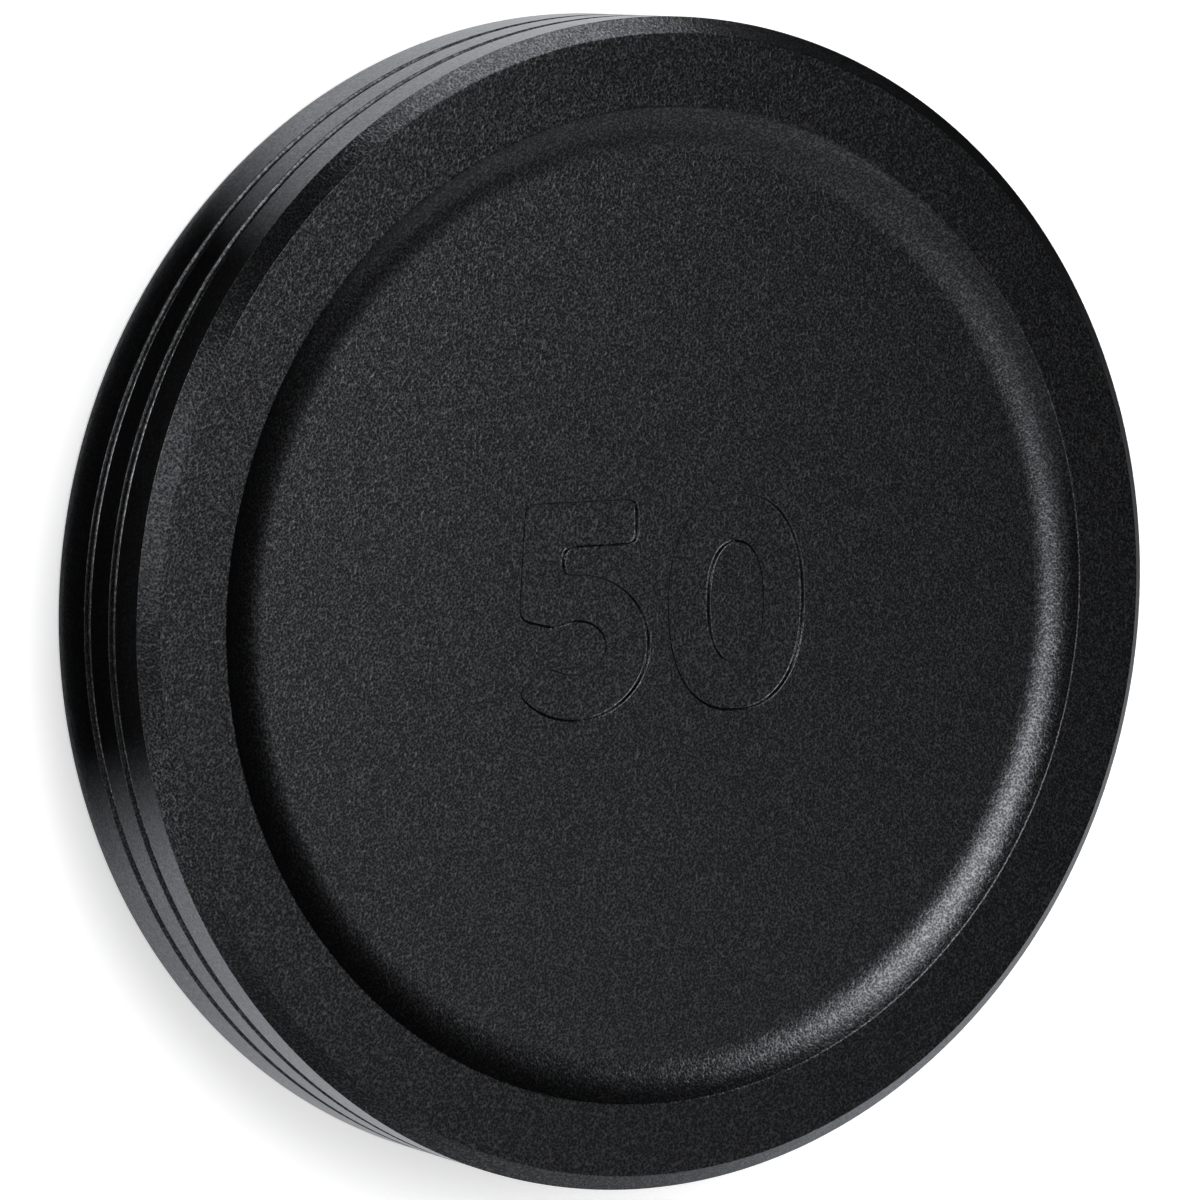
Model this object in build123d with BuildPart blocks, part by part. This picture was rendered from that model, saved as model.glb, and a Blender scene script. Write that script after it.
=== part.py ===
from build123d import *
import os
from math import sqrt

# Slip-on lens cap: a turned aluminium cup, dished in front, lined with felt that grips the lens rim.
# Millimetres. The cap lies on its open rear rim, with the origin at the rim's centre and the front face up.

# Fit over the lens
lens_rim_diameter = 55.0
lining_thickness = 1.0
skirt_wall = 1.5

# Depth of the cap
cap_height = 9.4
web_thickness = 1.3

# Front face
face_chamfer = 0.85
face_ring_width = 3.65
dish_depth = 0.86
dish_wall_radius = 3.8
edge_break = 0.12

# Round-bottomed grip grooves, counted from the front face
groove_count = 2
groove_width = 0.7
groove_depth = 0.35
first_groove_drop = 3.49
groove_pitch = 2.61

# Rear rim and the hollow
rear_chamfer = 0.15
mouth_chamfer = 0.3
mouth_lip_height = 0.8
lining_seat_depth = 0.3
end_relief = 1.2
inner_corner_chamfer = 0.4

# Felt strip, bent into a ring
lining_joint_gap = 0.5

# Sizes that follow
lining_inner_radius = lens_rim_diameter / 2
seat_radius = lining_inner_radius + lining_thickness
lip_radius = seat_radius - lining_seat_depth
outer_radius = seat_radius + skirt_wall
face_radius = outer_radius - face_chamfer
dish_radius = face_radius - face_ring_width
dish_floor_radius = dish_radius - sqrt(dish_depth * (2 * dish_wall_radius - dish_depth))
dish_floor_height = cap_height - dish_depth
hollow_depth = dish_floor_height - web_thickness
lining_width = hollow_depth - mouth_lip_height - end_relief
first_groove_height = cap_height - first_groove_drop
groove_heights = [first_groove_height - i * groove_pitch for i in range(groove_count)]


def turned_edges(piece, radius, height):
    """The piece's circular edges of that radius, at that height."""
    circles = piece.edges().filter_by(GeomType.CIRCLE)
    return circles.filter_by(
        lambda edge: abs(edge.radius - radius) < 0.001 and abs(edge.arc_center.Z - height) < 0.001
    )


# Cap body, turned from one bar
with BuildPart() as cap_body:
    with BuildSketch(Plane.XY):
        Circle(outer_radius)
    extrude(amount=cap_height)
    chamfer(turned_edges(cap_body, outer_radius, cap_height), face_chamfer)
    chamfer(turned_edges(cap_body, outer_radius, 0), rear_chamfer)

    # Dish in the front face, its wall one arc that rises from the flat floor
    with BuildSketch(Plane.XZ):
        with BuildLine():
            floor = Line((0, dish_floor_height), (dish_floor_radius, dish_floor_height))
            wall = RadiusArc(floor @ 1, (dish_radius, cap_height), -dish_wall_radius)
            Polyline(wall @ 1, (0, cap_height), floor @ 0)
        make_face()
    revolve(axis=Axis.Z, mode=Mode.SUBTRACT)

    # Grip grooves
    with BuildSketch(Plane.XZ):
        with Locations(*[(outer_radius, height) for height in groove_heights]):
            Ellipse(groove_depth, groove_width / 2)
    revolve(axis=Axis.Z, mode=Mode.SUBTRACT)

    # Hollow that goes over the lens
    with BuildSketch(Plane.XY):
        Circle(lip_radius)
    extrude(amount=hollow_depth, mode=Mode.SUBTRACT)
    chamfer(turned_edges(cap_body, lip_radius, hollow_depth), inner_corner_chamfer)
    chamfer(turned_edges(cap_body, lip_radius, 0), mouth_chamfer)

    # Wider seat behind the mouth lip, for the lining
    with BuildSketch(Plane.XY.offset(mouth_lip_height)):
        Circle(seat_radius)
    extrude(amount=lining_width, mode=Mode.SUBTRACT)

    # Front corners, broken so that none is sharp to the finger
    chamfer(turned_edges(cap_body, dish_radius, cap_height), edge_break)
    chamfer(turned_edges(cap_body, face_radius, cap_height), edge_break)
    chamfer(turned_edges(cap_body, outer_radius, cap_height - face_chamfer), edge_break)

# Felt lining, one strip bent round the seat until its ends meet
with BuildPart() as grip_lining:
    with BuildSketch(Plane.XY.offset(mouth_lip_height)):
        Circle(seat_radius)
        Circle(lining_inner_radius, mode=Mode.SUBTRACT)
        with Locations((0, -seat_radius)):
            Rectangle(lining_joint_gap, 3 * lining_thickness, mode=Mode.SUBTRACT)
    extrude(amount=lining_width)

# One STEP file a piece
cap_body.part.label = "cap_body"
grip_lining.part.label = "grip_lining"
os.makedirs("parts", exist_ok=True)
export_step(cap_body.part, "parts/cap_body.step")
export_step(grip_lining.part, "parts/grip_lining.step")
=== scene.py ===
import bmesh
import bpy
import numpy as np
from mathutils import Matrix, Quaternion, Vector
from mathutils.geometry import delaunay_2d_cdt


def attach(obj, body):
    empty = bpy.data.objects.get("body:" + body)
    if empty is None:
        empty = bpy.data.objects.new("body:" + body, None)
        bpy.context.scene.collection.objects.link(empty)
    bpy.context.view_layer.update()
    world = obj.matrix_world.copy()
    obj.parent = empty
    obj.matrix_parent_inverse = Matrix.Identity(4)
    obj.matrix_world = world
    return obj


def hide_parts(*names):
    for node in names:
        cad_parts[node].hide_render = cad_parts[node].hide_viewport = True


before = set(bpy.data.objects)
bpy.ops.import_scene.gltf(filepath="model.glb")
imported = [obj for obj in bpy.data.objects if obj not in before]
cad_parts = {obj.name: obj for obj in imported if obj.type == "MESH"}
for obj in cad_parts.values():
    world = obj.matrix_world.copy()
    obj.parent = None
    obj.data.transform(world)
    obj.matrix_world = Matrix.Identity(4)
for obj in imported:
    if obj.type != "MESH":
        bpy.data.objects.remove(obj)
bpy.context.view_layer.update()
mm = 0.001  # sizes below are millimetres, Blender's are metres
guardStep = 0.03  # mm from the end of an arc to the guard point on the straight beside it
scene = bpy.context.scene
scene.view_settings.view_transform = "Standard"


# Lines and surfaces that the pieces share

def arcPoints(centre, radius, startDeg, endDeg, count):
    # circle: centre plus radius times the cosine and sine of the angle
    angle = np.radians(np.linspace(startDeg, endDeg, count))
    return np.column_stack([centre[0] + radius * np.cos(angle), centre[1] + radius * np.sin(angle)])


def roundedLine(corners, radii, steps=7, guard=guardStep):
    # each inner corner becomes an arc that touches both of its sides: the arc starts
    # radius * tan(half the turn) before the corner and turns from the first side's direction
    # to the second's; a guard point stands on the side just before and just after it
    corner = np.array(corners, float)
    radius = np.array(radii, float)[:, None]
    side = np.diff(corner, axis=0)
    side /= np.linalg.norm(side, axis=1)[:, None]
    before, after = side[:-1], side[1:]
    cross = before[:, :1] * after[:, 1:] - before[:, 1:] * after[:, :1]
    turn = np.arctan2(np.abs(cross), np.sum(before * after, axis=1)[:, None])
    inward = np.sign(cross) * np.column_stack([-before[:, 1], before[:, 0]])
    reach = radius * np.tan(turn / 2)
    centre = corner[1:-1] - reach * before + radius * inward
    swing = turn[:, None] * np.linspace(0, 1, steps)[None, :, None]
    spoke = before[:, None] * np.sin(swing) - inward[:, None] * np.cos(swing)
    arc = centre[:, None] + radius[:, None] * spoke
    lead = (corner[1:-1] - (reach + guard) * before)[:, None]
    trail = (corner[1:-1] + (reach + guard) * after)[:, None]
    bends = np.concatenate([lead, arc, trail], axis=1).reshape(-1, 2)
    return np.vstack([corner[:1], bends, corner[-1:]])


def gridFaces(rows, columns, closeRows=False, closeColumns=False):
    # each point of a grid joined with its neighbours along the row and the column
    index = np.arange(rows * columns).reshape(rows, columns)
    if closeRows:
        index = np.vstack([index, index[:1]])
    if closeColumns:
        index = np.hstack([index, index[:, :1]])
    return np.stack([index[:-1, :-1], index[:-1, 1:], index[1:, 1:], index[1:, :-1]], axis=-1).reshape(-1, 4)


def meshPiece(name, patches, material):
    # patches of points (mm) and faces, joined into one closed mesh with its seams merged
    weldGap = 1e-7  # metres between points that are one
    shortEdge = 1e-9  # edges no longer than this go
    points = np.vstack([patch[0] for patch in patches]) * mm
    starts = np.cumsum([0] + [len(patch[0]) for patch in patches[:-1]])
    faces = []
    for patch, start in zip(patches, starts):
        faces += (np.asarray(patch[1]) + start).tolist()
    mesh = bpy.data.meshes.new(name)
    mesh.from_pydata(points.tolist(), [], faces)
    work = bmesh.new()
    work.from_mesh(mesh)
    bmesh.ops.remove_doubles(work, verts=work.verts, dist=weldGap)
    bmesh.ops.dissolve_degenerate(work, edges=work.edges, dist=shortEdge)
    bmesh.ops.recalc_face_normals(work, faces=work.faces)
    openEdges = sum(1 for edge in work.edges if len(edge.link_faces) != 2)
    work.to_mesh(mesh)
    work.free()
    mesh.shade_smooth()
    mesh.materials.append(material)
    piece = bpy.data.objects.new(name, mesh)
    scene.collection.objects.link(piece)
    triangles = sum(len(polygon.vertices) - 2 for polygon in mesh.polygons)
    print(name, "triangles", triangles, "open edges", openEdges)
    return piece


# Node helpers

def addNode(tree, kind, **settings):
    node = tree.nodes.new(kind)
    for key, value in settings.items():
        setattr(node, key, value)
    return node


def newMaterial(name):
    material = bpy.data.materials.new(name)
    material.use_nodes = True
    return material, material.node_tree, material.node_tree.nodes["Principled BSDF"]


def makeDimpleGroup():
    # blasted dimples: each point's distance from the nearest of many scattered centres as a height;
    # the normal leant by Tilt times the step to that centre, in dimples, and a random lean of the
    # whole dimple; a far slower noise as a drift, which the anodised finish uses for its roughness
    driftShare = 0.05  # the drift's scale as a share of the dimples'
    group = bpy.data.node_groups.new("dimpleField", "ShaderNodeTree")
    group.interface.new_socket(name="Vector", in_out="INPUT", socket_type="NodeSocketVector")
    for name in ("Scale", "Tilt"):
        group.interface.new_socket(name=name, in_out="INPUT", socket_type="NodeSocketFloat")
    for name in ("Height", "Drift"):
        group.interface.new_socket(name=name, in_out="OUTPUT", socket_type="NodeSocketFloat")
    group.interface.new_socket(name="Normal", in_out="OUTPUT", socket_type="NodeSocketVector")
    link = group.links.new
    inside = addNode(group, "NodeGroupInput")
    outside = addNode(group, "NodeGroupOutput")
    dimple = addNode(group, "ShaderNodeTexVoronoi")
    drift = addNode(group, "ShaderNodeTexNoise")
    slower = addNode(group, "ShaderNodeMath", operation="MULTIPLY")
    slower.inputs[1].default_value = driftShare
    link(inside.outputs["Vector"], dimple.inputs["Vector"])
    link(inside.outputs["Vector"], drift.inputs["Vector"])
    link(inside.outputs["Scale"], dimple.inputs["Scale"])
    link(inside.outputs["Scale"], slower.inputs[0])
    link(slower.outputs[0], drift.inputs["Scale"])
    surface = addNode(group, "ShaderNodeNewGeometry")
    step = addNode(group, "ShaderNodeVectorMath", operation="SUBTRACT")
    steps = addNode(group, "ShaderNodeVectorMath", operation="SCALE")
    whole = addNode(group, "ShaderNodeVectorMath", operation="SUBTRACT")
    whole.inputs[1].default_value = (0.5, 0.5, 0.5)  # each dimple's random colour, moved to lie about zero
    lean = addNode(group, "ShaderNodeVectorMath", operation="ADD")
    leant = addNode(group, "ShaderNodeVectorMath", operation="SCALE")
    summed = addNode(group, "ShaderNodeVectorMath", operation="ADD")
    unit = addNode(group, "ShaderNodeVectorMath", operation="NORMALIZE")
    link(dimple.outputs["Position"], step.inputs[0])
    link(inside.outputs["Vector"], step.inputs[1])
    link(step.outputs[0], steps.inputs[0])
    link(inside.outputs["Scale"], steps.inputs["Scale"])
    link(dimple.outputs["Color"], whole.inputs[0])
    link(steps.outputs[0], lean.inputs[0])
    link(whole.outputs[0], lean.inputs[1])
    link(lean.outputs[0], leant.inputs[0])
    link(inside.outputs["Tilt"], leant.inputs["Scale"])
    link(surface.outputs["Normal"], summed.inputs[0])
    link(leant.outputs[0], summed.inputs[1])
    link(summed.outputs[0], unit.inputs[0])
    link(dimple.outputs["Distance"], outside.inputs["Height"])
    link(drift.outputs["Fac"], outside.inputs["Drift"])
    link(unit.outputs[0], outside.inputs["Normal"])
    return group


dimpleGroup = makeDimpleGroup()


# Cap body: a turned cup, bead blasted and black anodised

capBody = {
    "segments": 360,
    "outerRadius": 30.0,
    "height": 9.4,
    "faceRadius": 29.15,
    "dishRadius": 25.465,
    "dishDepth": 0.86,
    "dishWallRadius": 3.8,
    "rimRound": 0.19,
    "faceEdgeRound": 0.035,
    "cornerRound": 0.03,
    "grooveHeights": (5.91, 3.30),
    "grooveRadius": 0.33,
    "grooveLipRound": 0.045,
    "rearChamfer": 0.15,
    "mouthChamfer": 0.3,
    "lipRadius": 28.2,
    "lipHeight": 0.8,
    "seatRadius": 28.5,
    "seatTop": 6.04,
    "ceilingHeight": 7.24,
    "innerCornerChamfer": 0.4,
    "insideRound": 0.06,
    "floorLead": 0.1,  # strip of the floor that is turned with the wall
    "plainWall": (7.0, 1.5),  # heights of the wall's rows above and below the grooves
    "ceilingRing": 12.0,  # radius where the ceiling's flat sheet takes over
    "dishSteps": (34, 9),  # points along the dish wall and along the rim's round
    "grooveSteps": (8, 15),  # points along a groove's lip and along its hollow
    "colour": (0.044, 0.045, 0.048),
    "edgeTint": (0.94, 0.965, 1.0),
    "roughness": (0.276, 0.284),
    "roughnessRange": (0.3, 0.7),  # values of the drift between those two
    "speckle": (0.52, 2.02),  # tone of a dimple's middle and of its rim
    "speckleRange": (0.33, 0.9),  # distances from the middle, in dimples, between those tones
    "dimplesPerMetre": 8400.0,
    "dimpleTilt": 0.072,
    "ringShade": 0.27,  # how much darker the front ring is than the dish
    "ringFade": (0.07, 0.01),  # mm below the ring where its shade starts and is full
}

number = {
    "height": 11.2,
    "digitWidth": 8.2,
    "gap": 1.1,
    "stroke": 2.45,
    "cornerSoftness": 0.4,  # mm over which sharp corners of the outline round off
    "pointSpacing": 0.1,
    "wallRound": 0.08,
    "wallWidth": 0.06,
    "wallGuard": 0.004,
    "brimWidth": 0.1,  # flat strip on both sides of the pocket's wall
    "depth": 0.2,
}

# the first digit's parts, as shares of the digit's width, height or stroke where no unit is given
fiveShape = {
    "bowlWidth": 0.525,
    "bowlHeight": 0.335,
    "bowlDegrees": (101, -146),
    "hollowDegrees": (-146, 132),
    "hollowShift": 0.1,  # mm to the left
    "hollowStroke": 0.97,
    "stemFoot": (0.45, 0.42),  # mm from the left, share of the bowl's half height
    "stemTop": 0.85,  # mm from the left
    "stemStroke": 0.93,
    "flagWidth": 0.91,
    "flagStroke": 0.95,
}


def grooveLine(size, height):
    # half-round groove cut into the wall, centre on the wall, both lips rounded by an arc that
    # touches the wall and the groove: its centre lies (groove + lip radius) from the groove's centre
    wall, groove, lip = size["outerRadius"], size["grooveRadius"], size["grooveLipRound"]
    rise = np.sqrt((groove + lip) ** 2 - lip**2)
    swing = np.degrees(np.arctan2(rise, lip))
    lipSteps, hollowSteps = size["grooveSteps"]
    guard = np.array([[0.0, guardStep]])
    upper = arcPoints((wall - lip, height + rise), lip, 0, -swing, lipSteps)
    hollow = arcPoints((wall, height), groove, 180 - swing, 180 + swing, hollowSteps)[1:-1]
    lower = arcPoints((wall - lip, height - rise), lip, swing, 0, lipSteps)
    return np.vstack([upper[:1] + guard, upper, hollow, lower, lower[-1:] - guard])


def capProfile(size):
    # radius and height round the cup's section, from the dish floor's edge out, down and in
    top, wall = size["height"], size["outerRadius"]
    floorHeight = top - size["dishDepth"]
    arc, rim = size["dishWallRadius"], size["rimRound"]
    floorRadius = size["dishRadius"] - np.sqrt(size["dishDepth"] * (2 * arc - size["dishDepth"]))
    arcCentre = (floorRadius, floorHeight + arc)
    rimDrop = arcCentre[1] - (top - rim)
    rimCentre = (floorRadius + np.sqrt((arc + rim) ** 2 - rimDrop**2), top - rim)
    rimSlope = np.degrees(np.arctan2(rimCentre[0] - floorRadius, rimDrop))
    dish = np.vstack([
        [[floorRadius - size["floorLead"], floorHeight]],
        arcPoints(arcCentre, arc, -90, rimSlope - 90, size["dishSteps"][0]),
        arcPoints(rimCentre, rim, 90 + rimSlope, 90, size["dishSteps"][1])[1:],
        [[rimCentre[0] + guardStep, top]],
    ])
    above, below = size["plainWall"]
    face = size["faceRadius"]
    front = roundedLine(
        [dish[-1], (face, top), (wall, top - wall + face), (wall, above)],
        [size["faceEdgeRound"], size["cornerRound"]],
        steps=8,
    )[1:]
    grooves = np.vstack([grooveLine(size, height) for height in size["grooveHeights"]])
    lip, seat, ceiling = size["lipRadius"], size["seatRadius"], size["ceilingHeight"]
    rear, mouth, inner = size["rearChamfer"], size["mouthChamfer"], size["innerCornerChamfer"]
    lipTop, seatTop = size["lipHeight"], size["seatTop"]
    corners = [
        (wall, below), (wall, rear), (wall - rear, 0), (lip + mouth, 0), (lip, mouth), (lip, lipTop),
        (seat, lipTop), (seat, seatTop), (lip, seatTop), (lip, ceiling - inner), (lip - inner, ceiling),
        (size["ceilingRing"], ceiling),
    ]
    inside = roundedLine(corners, [size["insideRound"]] * (len(corners) - 2), steps=5)
    return np.vstack([dish, front, grooves, inside])


def turnProfile(profile, segments):
    # turned surface: radius times the cosine and sine of the angle, at the profile's height
    angle = np.linspace(0, 2 * np.pi, segments, endpoint=False)
    points = np.stack(
        [profile[:, :1] * np.cos(angle), profile[:, :1] * np.sin(angle), profile[:, 1:] + 0 * angle], axis=-1
    )
    return points.reshape(-1, 3), gridFaces(len(profile), segments, closeColumns=True)


def softOutline(loop, softness, spacing):
    # closed outline with points at even distances; a Gaussian along it, taken in its Fourier
    # series, rounds the corners and leaves the long curves as they are
    fineStep = 0.02  # mm between the points that are smoothed
    closed = np.vstack([loop, loop[:1]])
    run = np.concatenate([[0], np.cumsum(np.linalg.norm(np.diff(closed, axis=0), axis=1))])
    even = np.arange(0, run[-1], fineStep)
    line = np.interp(even, run, closed[:, 0]) + 1j * np.interp(even, run, closed[:, 1])
    wave = np.fft.fftfreq(len(line), run[-1] / len(line))
    line = np.fft.ifft(np.fft.fft(line) * np.exp(-2 * (np.pi * wave * softness) ** 2))
    count = int(run[-1] / spacing)
    line = line[np.round(np.linspace(0, len(line), count, endpoint=False)).astype(int)]
    return np.column_stack([line.real, line.imag])


def ovalLoop(centre, halfWidth, halfHeight, power=2.35, count=400):
    # superellipse: cosine and sine of the angle raised to 2 / power, keeping their signs
    angle = np.linspace(0, 2 * np.pi, count, endpoint=False)
    c, s = np.cos(angle), np.sin(angle)
    x = centre[0] + halfWidth * np.sign(c) * np.abs(c) ** (2 / power)
    y = centre[1] + halfHeight * np.sign(s) * np.abs(s) ** (2 / power)
    return np.column_stack([x, y])


def ellipseArc(centre, halfWidth, halfHeight, startDeg, endDeg, count=60):
    # ellipse: centre plus each half axis times the cosine or sine of the angle
    angle = np.radians(np.linspace(startDeg, endDeg, count))
    return np.column_stack([centre[0] + halfWidth * np.cos(angle), centre[1] + halfHeight * np.sin(angle)])


def fiveOutline(left, size, shape):
    # flag, stem and bowl of the first digit as one outline
    top, width, stroke = size["height"] / 2, size["digitWidth"], size["stroke"]
    halfWide, halfHigh = shape["bowlWidth"] * width, shape["bowlHeight"] * size["height"]
    centre = (left + width - halfWide, halfHigh - top)
    bowl = ellipseArc(centre, halfWide, halfHigh, *shape["bowlDegrees"])
    hollow = ellipseArc(
        (centre[0] - shape["hollowShift"], centre[1]),
        halfWide - stroke,
        halfHigh - shape["hollowStroke"] * stroke,
        *shape["hollowDegrees"],
    )
    foot = (left + shape["stemFoot"][0], centre[1] + shape["stemFoot"][1] * halfHigh)
    stem = left + shape["stemTop"]
    end = left + shape["flagWidth"] * width
    under = top - shape["flagStroke"] * stroke
    tuck = stem + shape["stemStroke"] * stroke
    flag = np.array([foot, (stem, top), (end, top), (end, under), (tuck, under)])
    return np.vstack([flag, bowl, hollow])


def numberOutlines(size, shape):
    # one loop for the first digit, two for the ring of the second, each with its pocket on the left
    half = size["digitWidth"] + size["gap"] / 2
    centre = (half - size["digitWidth"] / 2, 0)
    wide, high, stroke = size["digitWidth"] / 2, size["height"] / 2, size["stroke"]
    loops = [
        fiveOutline(-half, size, shape)[::-1],
        ovalLoop(centre, wide, high),
        ovalLoop(centre, wide - stroke, high - stroke)[::-1],
    ]
    return [softOutline(loop, size["cornerSoftness"], size["pointSpacing"]) for loop in loops]


def wallSection(size):
    # step in from the outline and height down the pocket's wall: flat, rounded edge, slope,
    # rounded foot, flat
    foot, brim = (size["wallWidth"], -size["depth"]), size["brimWidth"]
    return roundedLine(
        [(-brim, 0), (0, 0), foot, (foot[0] + brim, foot[1])],
        [size["wallRound"], size["wallRound"]],
        steps=6,
        guard=size["wallGuard"],
    )


def pocketWall(loop, section, level):
    # the wall's section carried round the outline, stepping in along the outline's own normal
    tangent = np.roll(loop, -1, axis=0) - np.roll(loop, 1, axis=0)
    tangent /= np.linalg.norm(tangent, axis=1)[:, None]
    inward = np.column_stack([-tangent[:, 1], tangent[:, 0]])
    flat = loop[None] + section[:, 0][:, None, None] * inward[None]
    rise = np.broadcast_to(level + section[:, 1][:, None, None], flat.shape[:2] + (1,))
    points = np.concatenate([flat, rise], axis=-1)
    return points, gridFaces(len(section), len(loop), closeColumns=True)


def insideLoop(points, loop):
    # a point is inside where a line to its right crosses the outline an odd number of times
    end = np.roll(loop, -1, axis=0)
    x, y = points[:, :1], points[:, 1:]
    spans = (loop[:, 1] > y) != (end[:, 1] > y)
    rise = np.where(end[:, 1] == loop[:, 1], 1.0, end[:, 1] - loop[:, 1])
    meet = loop[:, 0] + (y - loop[:, 1]) * (end[:, 0] - loop[:, 0]) / rise
    return np.sum(spans & (x < meet), axis=1) % 2


def flatFill(loops, level):
    # flat sheet cut into triangles, kept where an odd number of the closed outlines go round it
    insideOnly = 1  # the triangulation's own number for leaving out what lies outside
    mergeGap = 1e-6  # mm between points that are one
    points = np.vstack(loops)
    starts = np.cumsum([0] + [len(loop) for loop in loops[:-1]])
    rings = [(np.arange(len(loop)) + start).tolist() for loop, start in zip(loops, starts)]
    edges = [pair for ring in rings for pair in zip(ring, ring[1:] + ring[:1])]
    made = delaunay_2d_cdt([Vector(point) for point in points], edges, [], insideOnly, mergeGap)
    flat = np.array([tuple(point) for point in made[0]])
    triangles = np.array(made[2])
    middle = flat[triangles].mean(axis=1)
    around = sum(insideLoop(middle, loop) for loop in loops)
    return np.column_stack([flat, np.full(len(flat), level)]), triangles[around % 2 == 1]


def makeBlackAnodised(size):
    material, tree, shader = newMaterial("blackAnodised")
    link = tree.links.new
    place = addNode(tree, "ShaderNodeTexCoord")
    grain = addNode(tree, "ShaderNodeGroup", node_tree=dimpleGroup)
    grain.inputs["Scale"].default_value = size["dimplesPerMetre"]
    grain.inputs["Tilt"].default_value = size["dimpleTilt"]
    tone = addNode(tree, "ShaderNodeMapRange")
    tone.inputs["From Min"].default_value = size["speckleRange"][0]
    tone.inputs["From Max"].default_value = size["speckleRange"][1]
    dye = addNode(tree, "ShaderNodeMix", data_type="RGBA")
    dye.inputs["A"].default_value = (*[size["speckle"][0] * c for c in size["colour"]], 1)
    dye.inputs["B"].default_value = (*[size["speckle"][1] * c for c in size["colour"]], 1)
    level = addNode(tree, "ShaderNodeSeparateXYZ")
    ring = addNode(tree, "ShaderNodeMapRange")
    ring.inputs["From Min"].default_value = (size["height"] - size["ringFade"][0]) * mm
    ring.inputs["From Max"].default_value = (size["height"] - size["ringFade"][1]) * mm
    ring.inputs["To Max"].default_value = size["ringShade"]
    shaded = addNode(tree, "ShaderNodeMix", data_type="RGBA")
    shaded.inputs["B"].default_value = (0, 0, 0, 1)
    gloss = addNode(tree, "ShaderNodeMapRange")
    gloss.inputs["From Min"].default_value = size["roughnessRange"][0]
    gloss.inputs["From Max"].default_value = size["roughnessRange"][1]
    gloss.inputs["To Min"].default_value = size["roughness"][0]
    gloss.inputs["To Max"].default_value = size["roughness"][1]
    link(place.outputs["Object"], grain.inputs["Vector"])
    link(grain.outputs["Drift"], gloss.inputs["Value"])
    link(grain.outputs["Height"], tone.inputs["Value"])
    link(tone.outputs["Result"], dye.inputs["Factor"])
    link(place.outputs["Object"], level.inputs[0])
    link(level.outputs["Z"], ring.inputs["Value"])
    link(ring.outputs["Result"], shaded.inputs["Factor"])
    link(dye.outputs["Result"], shaded.inputs["A"])
    link(shaded.outputs["Result"], shader.inputs["Base Color"])
    link(gloss.outputs["Result"], shader.inputs["Roughness"])
    link(grain.outputs["Normal"], shader.inputs["Normal"])
    shader.inputs["Metallic"].default_value = 1.0
    shader.inputs["Specular Tint"].default_value = (*size["edgeTint"], 1)
    return material


def makeCapBody(size, mark, firstDigit):
    profile = capProfile(size)
    turned, turnedFaces = turnProfile(profile, size["segments"])
    rings = turned.reshape(len(profile), size["segments"], 3)
    floorLevel, ceiling = profile[0, 1], profile[-1, 1]
    outlines = numberOutlines(mark, firstDigit)
    section = wallSection(mark)
    walls = [pocketWall(loop, section, floorLevel) for loop in outlines]
    brims = [wall[0][0, :, :2] for wall in walls]
    feet = [wall[0][-1, :, :2] for wall in walls]
    patches = [(turned, turnedFaces)]
    patches += [(wall[0].reshape(-1, 3), wall[1]) for wall in walls]
    patches.append(flatFill([rings[0, :, :2]] + brims, floorLevel))
    patches.append(flatFill(feet, floorLevel - mark["depth"]))
    patches.append(flatFill([rings[-1, :, :2]], ceiling))
    piece = meshPiece("lensCapBody", patches, makeBlackAnodised(size))
    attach(piece, "root")
    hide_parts("cap_body")


makeCapBody(capBody, number, fiveShape)


# Felt lining: one strip bent round the seat, its ends butted

feltLining = {
    "innerRadius": 27.5,
    "outerRadius": 28.5,
    "bottom": 0.8,
    "top": 6.04,
    "jointGap": 0.5,
    "edgeRound": 0.3,
    "backRound": 0.05,
    "endRound": 0.2,
    "napHeight": 0.06,
    "napLength": 1.1,  # mm from one soft lump of the nap to the next
    "napSeed": 7,
    "facePoints": 24,
    "stations": 640,
    "endStations": 7,
    "colour": (0.012, 0.012, 0.013),
    "fibreTone": (0.35, 2.6),
    "fibreRange": (0.35, 0.65),  # values of the noise between those two tones
    "fibreScale": 5200.0,
    "fibreDetail": 3.0,
    "fibreTwist": 2.5,
    "fibreRise": 0.12,
    "sheen": 0.35,
    "feltRoughness": 0.95,
}


def liningSection(size):
    # section of the strip: a rectangle whose free corners are pressed round, starting at the back,
    # with points at even distances along its free face
    r0, r1, z0, z1 = size["innerRadius"], size["outerRadius"], size["bottom"], size["top"]
    soft, back = size["edgeRound"], size["backRound"]
    middle = (z0 + z1) / 2
    upper = roundedLine([(r1, middle), (r1, z1), (r0, z1), (r0, middle)], [back, soft])[:-1]
    lower = roundedLine([(r0, middle), (r0, z0), (r1, z0), (r1, middle)], [soft, back])[1:-1]
    heights = np.linspace(upper[-1, 1], lower[0, 1], size["facePoints"] + 2)[1:-1]
    return np.vstack([upper, np.column_stack([np.full(len(heights), r0), heights]), lower])


def softNoise(rows, columns, rowLength, columnLength, seed):
    # seeded random numbers smoothed by a Gaussian in their Fourier series, scaled to run from 0 to 1
    field = np.fft.fft2(np.random.default_rng(seed).standard_normal((rows, columns)))
    down = np.fft.fftfreq(rows)[:, None] * rowLength
    across = np.fft.fftfreq(columns)[None] * columnLength
    smooth = np.fft.ifft2(field * np.exp(-2 * (down**2 + across**2))).real
    return (smooth - smooth.min()) / np.ptp(smooth)


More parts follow.
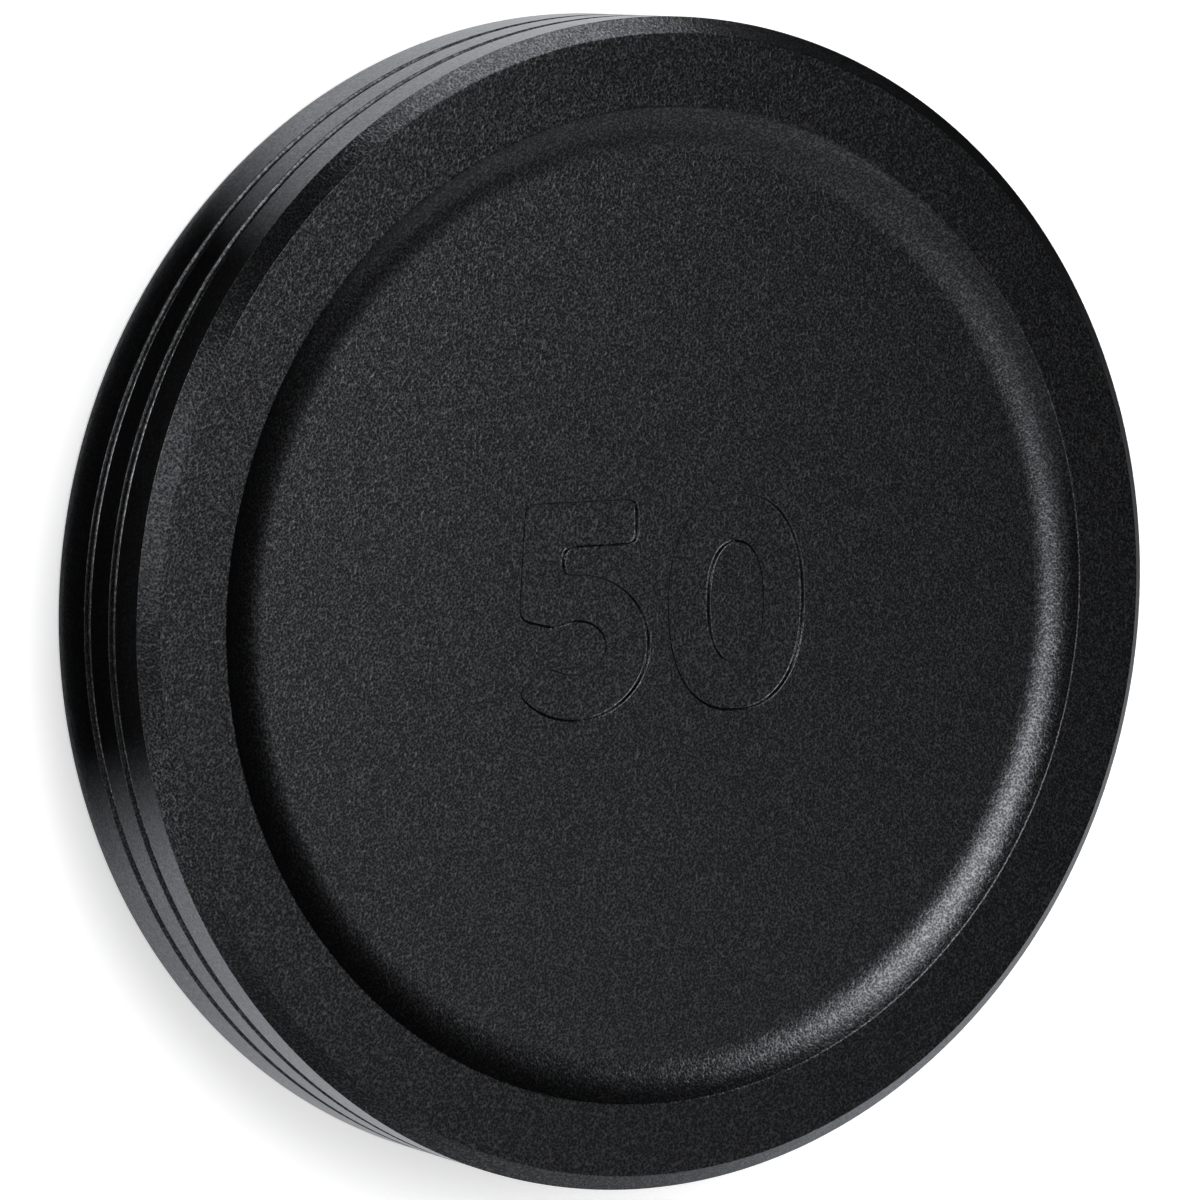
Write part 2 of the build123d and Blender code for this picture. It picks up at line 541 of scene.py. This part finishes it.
def makeBlackFelt(size):
    material, tree, shader = newMaterial("blackFelt")
    link = tree.links.new
    place = addNode(tree, "ShaderNodeTexCoord")
    fibre = addNode(tree, "ShaderNodeTexNoise")
    fibre.inputs["Scale"].default_value = size["fibreScale"]
    fibre.inputs["Detail"].default_value = size["fibreDetail"]
    fibre.inputs["Distortion"].default_value = size["fibreTwist"]
    tone = addNode(tree, "ShaderNodeMix", data_type="RGBA")
    tone.inputs["A"].default_value = (*[size["fibreTone"][0] * c for c in size["colour"]], 1)
    tone.inputs["B"].default_value = (*[size["fibreTone"][1] * c for c in size["colour"]], 1)
    contrast = addNode(tree, "ShaderNodeMapRange")
    contrast.inputs["From Min"].default_value = size["fibreRange"][0]
    contrast.inputs["From Max"].default_value = size["fibreRange"][1]
    bump = addNode(tree, "ShaderNodeBump")
    bump.inputs["Distance"].default_value = size["fibreRise"] * mm
    link(place.outputs["Object"], fibre.inputs["Vector"])
    link(fibre.outputs["Fac"], contrast.inputs["Value"])
    link(contrast.outputs["Result"], tone.inputs["Factor"])
    link(fibre.outputs["Fac"], bump.inputs["Height"])
    link(tone.outputs["Result"], shader.inputs["Base Color"])
    link(bump.outputs["Normal"], shader.inputs["Normal"])
    shader.inputs["Roughness"].default_value = size["feltRoughness"]
    shader.inputs["Sheen Weight"].default_value = size["sheen"]
    return material


def makeFeltLining(size):
    # the section carried round the ring from one side of the joint to the other; each end shrinks
    # towards the section's middle as a quarter round, and the free face gives way by a soft random nap
    section = liningSection(size)
    halfGap = size["jointGap"] / 2 / size["outerRadius"]
    swing = np.radians(np.linspace(0, 90, size["endStations"]))
    endStep = size["endRound"] * (1 - np.cos(swing)) / size["outerRadius"]
    inset = size["endRound"] * (1 - np.sin(swing))
    angle = np.linspace(halfGap + endStep[-1], 2 * np.pi - halfGap - endStep[-1], size["stations"])
    first = halfGap + endStep[:-1]
    last = 2 * np.pi - halfGap - endStep[:-1][::-1]
    angle = np.concatenate([first, angle, last]) - np.pi / 2
    inset = np.concatenate([inset[:-1], np.zeros(size["stations"]), inset[:-1][::-1]])[:, None]
    middle = (section.max(axis=0) + section.min(axis=0)) / 2
    half = (section.max(axis=0) - section.min(axis=0)) / 2
    radius = middle[0] + (section[:, 0] - middle[0])[None] * (1 - inset / half[0])
    height = middle[1] + (section[:, 1] - middle[1])[None] * (1 - inset / half[1])
    stationStep = 2 * np.pi * size["innerRadius"] / len(angle)
    pointStep = (size["top"] - size["bottom"]) / size["facePoints"]
    rowLength, columnLength = size["napLength"] / stationStep, size["napLength"] / pointStep
    nap = softNoise(len(angle), len(section), rowLength, columnLength, size["napSeed"])
    free = np.clip((size["outerRadius"] - size["backRound"] - section[:, 0]) / half[0] - 1, 0, 1)
    radius = radius + size["napHeight"] * nap * free[None]
    points = np.stack([radius * np.cos(angle)[:, None], radius * np.sin(angle)[:, None], height], axis=-1)
    ends = np.arange(len(section))[None]
    patches = [
        (points.reshape(-1, 3), gridFaces(len(angle), len(section), closeColumns=True)),
        (points[0], ends),
        (points[-1], ends[:, ::-1]),
    ]
    piece = meshPiece("feltLining", patches, makeBlackFelt(size))
    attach(piece, "root")
    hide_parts("grip_lining")


makeFeltLining(feltLining)


# Floor, light and camera

studio = {
    "floorSize": 3.0,  # metres, as the camera's place
    "floorTone": 0.92,
    "floorGlow": 0.45,
    "floorRoughness": 0.9,
    "worldTone": 0.02,
    "cameraPlace": (-0.187509, 0.037494, 0.311910),
    "cameraRight": (0.8551, 0.0, 0.5184),
    "cameraAhead": (0.5156, -0.1036, -0.8505),
    "lens": 211.1,  # mm, as the sensor
    "sensorWidth": 36.0,
    # each lamp: azimuth, elevation and roll in degrees, distance and size in metres, light on the cap
    "lamps": {
        "keyLow": (68, 70, -60, 0.5, (0.49, 0.138), 0.67),
        "keyMiddle": (73, 73.4, 31, 0.5, (0.287, 0.252), 1.31),
        "keyHigh": (82.5, 84, 15, 0.5, (0.17, 0.67), 0.33),
        "grooveStrip": (160, 2.5, 0, 0.6, (0.26, 0.06), 1.45),
        "sideStrip": (225.5, 4.5, -33, 0.6, (0.7, 0.09), 0.58),
        "leftPanel": (163.5, 24, 6, 0.6, (0.39, 0.057), 0.24),
        "topStrip": (78.5, 8.4, 24.5, 0.7, (0.57, 0.05), 0.74),
        "lowFill": (301, 15, 9, 0.7, (0.86, 0.65), 0.62),
        "highFill": (268, 54.7, 58, 0.5, (0.9, 0.54), 0.86),
    },
    "flagGrid": (40, 80),
    "flagHeight": 0.05,  # mm above the floor
    "flagTone": 0.004,
    # each flag: inner and outer radius in mm, start and end azimuth, the ramps of those four, cover
    # the flags are painted dark reflections: black cards that only the cap's reflections see
    "flags": {
        "leftFlag": (29.9, 46, 121, 210, 0.05, 10, 18, 18, 1.0),
        "rightFlag": (32, 240, -92, 88, 0.1, 60, 125, 14, 0.985),
        "lowFlag": (42, 220, 225, 310, 22, 60, 16, 20, 0.62),
    },
}


def makeFloor(size):
    half = size["floorSize"] / 2
    corners = [(-half, -half, 0), (half, -half, 0), (half, half, 0), (-half, half, 0)]
    mesh = bpy.data.meshes.new("floor")
    mesh.from_pydata(corners, [], [(0, 1, 2, 3)])
    material, tree, shader = newMaterial("paleFloor")
    shader.inputs["Base Color"].default_value = (*[size["floorTone"]] * 3, 1)
    shader.inputs["Roughness"].default_value = size["floorRoughness"]
    shader.inputs["Specular IOR Level"].default_value = 0.0
    shader.inputs["Emission Color"].default_value = (1, 1, 1, 1)
    path = addNode(tree, "ShaderNodeLightPath")  # the floor reads white where it is seen or mirrored
    seen = addNode(tree, "ShaderNodeMath", operation="ADD", use_clamp=True)
    through = addNode(tree, "ShaderNodeMath", operation="ADD", use_clamp=True)
    glow = addNode(tree, "ShaderNodeMath", operation="MULTIPLY")
    glow.inputs[1].default_value = size["floorGlow"]
    tree.links.new(path.outputs["Is Camera Ray"], seen.inputs[0])
    tree.links.new(path.outputs["Is Glossy Ray"], seen.inputs[1])
    tree.links.new(seen.outputs[0], through.inputs[0])
    tree.links.new(path.outputs["Is Transmission Ray"], through.inputs[1])
    tree.links.new(through.outputs[0], glow.inputs[0])
    tree.links.new(glow.outputs[0], shader.inputs["Emission Strength"])
    mesh.materials.append(material)
    floor = bpy.data.objects.new("floor", mesh)
    scene.collection.objects.link(floor)


def softBox(name, azimuth, elevation, roll, distance, size, light):
    # a lamp's light on the cap is its power over pi times the distance squared
    lamp = bpy.data.lights.new(name, "AREA")
    lamp.shape = "RECTANGLE"
    lamp.size, lamp.size_y = size
    lamp.energy = light * np.pi * distance**2
    across, rise = np.radians(azimuth), np.radians(elevation)
    ray = Vector((np.cos(rise) * np.cos(across), np.cos(rise) * np.sin(across), np.sin(rise)))
    item = bpy.data.objects.new(name, lamp)
    item.location = Vector((0, 0, capBody["height"] * mm)) + ray * distance
    turn = ray.to_track_quat("Z", "Y") @ Quaternion((0, 0, 1), np.radians(roll))
    item.rotation_euler = turn.to_euler()
    item.visible_camera = False
    scene.collection.objects.link(item)


def makeFlag(name, inner, outer, start, end, innerRamp, outerRamp, startRamp, endRamp, cover):
    # black card lying by the cap, seen only in reflections, where it paints a dark reflection (painted
    # shade) on the cap's skirt and chamfer: part of a ring between two radii and two azimuths, its cover
    # rising smoothly from 0 at each border over that border's ramp
    rows, columns = studio["flagGrid"]
    radius = np.linspace(inner, outer, rows)[:, None]
    degree = np.linspace(start, end, columns)[None]
    angle = np.radians(degree)
    level = np.full((rows, columns), studio["flagHeight"])
    points = np.stack([radius * np.cos(angle), radius * np.sin(angle), level], axis=-1)
    along = np.clip(np.minimum((radius - inner) / innerRamp, (outer - radius) / outerRamp), 0, 1)
    around = np.clip(np.minimum((degree - start) / startRamp, (end - degree) / endRamp), 0, 1)
    shade = cover * along**2 * (3 - 2 * along) * around**2 * (3 - 2 * around)
    mesh = bpy.data.meshes.new(name)
    mesh.from_pydata((points.reshape(-1, 3) * mm).tolist(), [], gridFaces(rows, columns).tolist())
    mesh.attributes.new("cover", "FLOAT", "POINT").data.foreach_set("value", shade.ravel())
    material, tree, shader = newMaterial(name + "Card")
    amount = addNode(tree, "ShaderNodeAttribute", attribute_name="cover")
    tree.links.new(amount.outputs["Fac"], shader.inputs["Alpha"])
    shader.inputs["Base Color"].default_value = (*[studio["flagTone"]] * 3, 1)
    shader.inputs["Roughness"].default_value = 1.0
    shader.inputs["Specular IOR Level"].default_value = 0.0
    mesh.materials.append(material)
    card = bpy.data.objects.new(name, mesh)
    scene.collection.objects.link(card)
    card.visible_camera = False
    card.visible_diffuse = False
    card.visible_shadow = False


makeFloor(studio)
for lampName, lampValues in studio["lamps"].items():
    softBox(lampName, *lampValues)
for flagName, flagValues in studio["flags"].items():
    makeFlag(flagName, *flagValues)

world = bpy.data.worlds.new("studioWorld")
world.use_nodes = True
world.node_tree.nodes["Background"].inputs["Color"].default_value = (*[studio["worldTone"]] * 3, 1)
scene.world = world

ahead = Vector(studio["cameraAhead"]).normalized()
right = Vector(studio["cameraRight"])
right = (right - right.dot(ahead) * ahead).normalized()
up = right.cross(ahead)
cameraData = bpy.data.cameras.new("camera")
cameraData.lens = studio["lens"]
cameraData.sensor_width = studio["sensorWidth"]
camera = bpy.data.objects.new("camera", cameraData)
cameraTurn = Matrix((right, up, -ahead)).transposed().to_4x4()
camera.matrix_world = Matrix.Translation(studio["cameraPlace"]) @ cameraTurn
scene.collection.objects.link(camera)
scene.camera = camera
print("camera, floor and light set")
